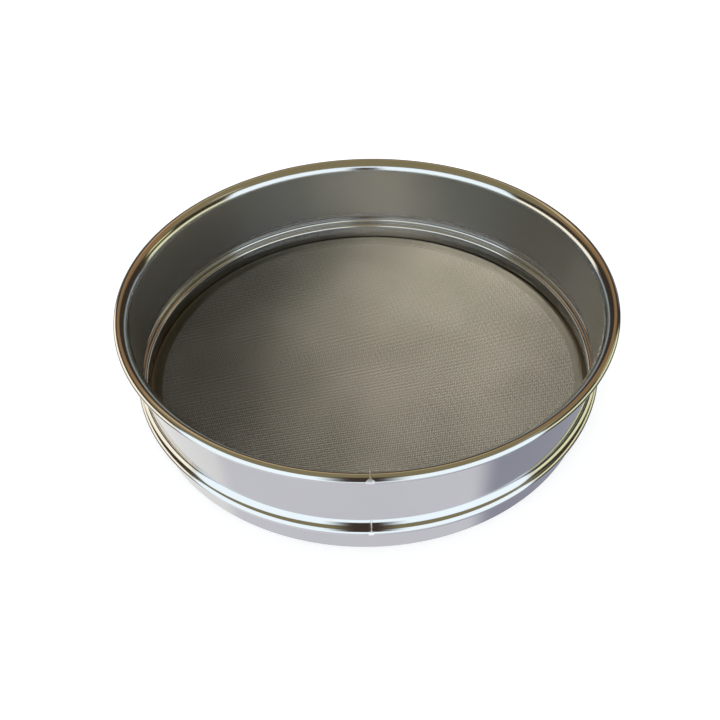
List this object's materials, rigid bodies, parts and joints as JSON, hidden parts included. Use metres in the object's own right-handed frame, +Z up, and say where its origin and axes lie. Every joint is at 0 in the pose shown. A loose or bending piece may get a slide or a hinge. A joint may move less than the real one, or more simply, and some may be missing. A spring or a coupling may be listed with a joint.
{
  "type": "double sieve strainer",
  "caption": "Round stainless honey strainer: a wired rim, straight wall, stacking bead and skirt round a fixed fine screen and a lift-out coarse screen.",
  "frame": {"origin": "centre of the skirt's lower edge, in the plane the strainer stands on", "axes": "+Z up through the rim, -Y towards the welded seam of the rolled strip, +X to the right of it"},
  "size_m": [0.4, 0.4002, 0.0932],
  "materials": {
    "polished_sheet": "bright polished stainless sheet with a faint upright grain inside",
    "rim_wire": "drawn wire",
    "weld": "bright weld, ground flush on the wall and skirt",
    "pressed_ring": "satin pressed strip",
    "coarse_mesh": "woven drawn wire",
    "fine_mesh": "fine woven drawn wire",
    "solder": "dull tin solder"
  },
  "bodies": {
    "frame": {"frame_shell": "polished_sheet", "rim_wire": "rim_wire", "rim_wire_weld": "weld", "rim_seam_weld": "weld", "wall_seam_weld": "weld", "bead_seam_weld": "weld", "skirt_seam_weld": "weld", "seat_ring": "pressed_ring", "seat_ring_weld": "weld", "seat_spot_welds": "weld", "fine_warp_wires": "fine_mesh", "fine_weft_wires": "fine_mesh", "fine_clamp_ring": "pressed_ring", "fine_clamp_ring_weld": "weld", "fine_spot_welds": "weld"},
    "coarse_screen": {"coarse_hoop": "pressed_ring", "coarse_hoop_weld": "weld", "coarse_solder": "solder", "coarse_warp_wires": "coarse_mesh", "coarse_weft_wires": "coarse_mesh"}
  },
  "joints": [
    {"name": "coarse_screen_lift", "type": "slide", "parent": "frame", "child": "coarse_screen", "axis": [0, 0, 1], "range_m": [0, 0.1]}
  ]
}
